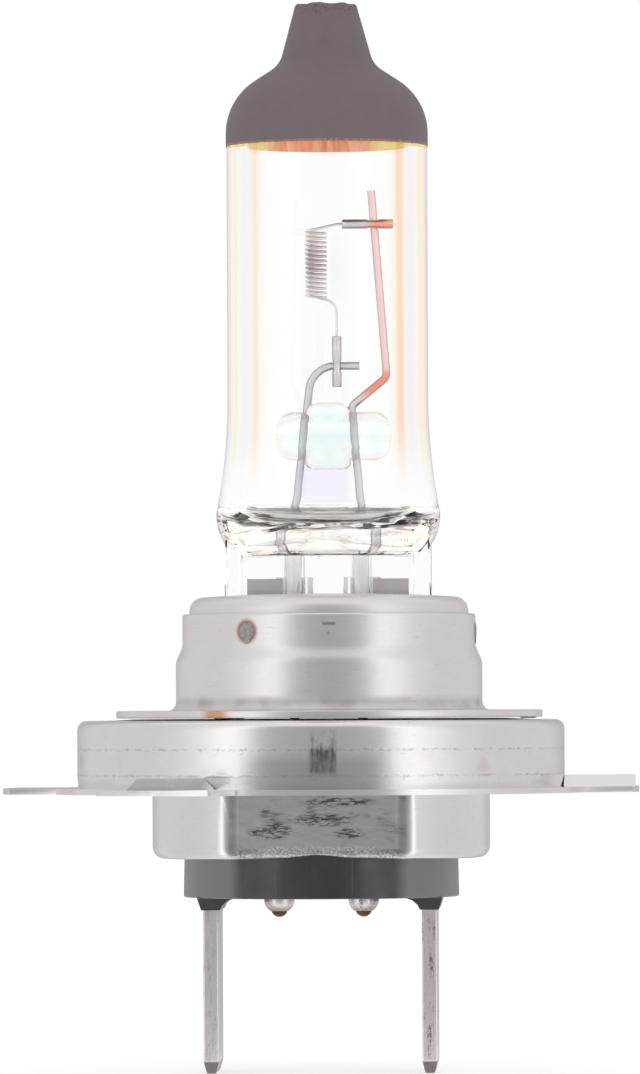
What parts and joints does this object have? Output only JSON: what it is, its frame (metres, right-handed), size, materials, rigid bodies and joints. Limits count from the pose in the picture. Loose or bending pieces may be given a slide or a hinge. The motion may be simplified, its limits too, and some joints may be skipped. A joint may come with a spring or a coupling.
{
  "type": "headlight bulb",
  "caption": "Halogen headlight bulb: clear glass capsule with a black top and an axial filament, nested metal sleeves on a prefocus ring, a lug plate with bosses, and flat contact blades.",
  "frame": {"origin": "on the prefocus ring's axis, in the reference plane made by the tops of the three bosses", "axes": "+Z along the ring's axis towards the glass tip, +X to the first boss, -Y to the viewer of the two blades' edges"},
  "size_m": [0.034, 0.0324, 0.057],
  "materials": {
    "quartz_glass": "clear quartz glass with a faint rainbow interference coat",
    "bead_glass": "clear fused glass, rounded by the flame",
    "black_coat": "matt black heat-proof coat with a soft sheen",
    "tungsten": "drawn tungsten wire, dull grey",
    "molybdenum": "drawn molybdenum, satin with fine die lines",
    "sleeve_metal": "deep-drawn nickel-plated sheet, satin, with drawing marks",
    "base_metal": "deep-drawn nickel-plated sheet, bright satin, scuffed",
    "weld": "resistance weld with a straw and brown heat tint",
    "insulator": "moulded dark slate plastic, semi-gloss",
    "contact_metal": "nickel-plated strip, satin, with sheared edges",
    "lead_bead": "melted lead end, brown oxide over bright metal"
  },
  "bodies": {
    "root": {"glass_envelope": "quartz_glass", "anti_glare_coat": "black_coat", "filament": "tungsten", "upper_crimp_tube": "molybdenum", "lower_crimp_tube": "molybdenum", "long_lead": "molybdenum", "short_lead": "molybdenum", "glass_bridge": "bead_glass", "foil_left": "molybdenum", "foil_right": "molybdenum", "outer_lead_left": "molybdenum", "outer_lead_right": "molybdenum", "seal_clip": "sleeve_metal", "inner_sleeve": "sleeve_metal", "sleeve_collar": "sleeve_metal", "sleeve_welds": "weld", "prefocus_ring": "base_metal", "flange_welds": "weld", "lug_plate": "base_metal", "insulator": "insulator", "contact_left": "contact_metal", "contact_right": "contact_metal", "lead_welds": "lead_bead"}
  },
  "joints": []
}
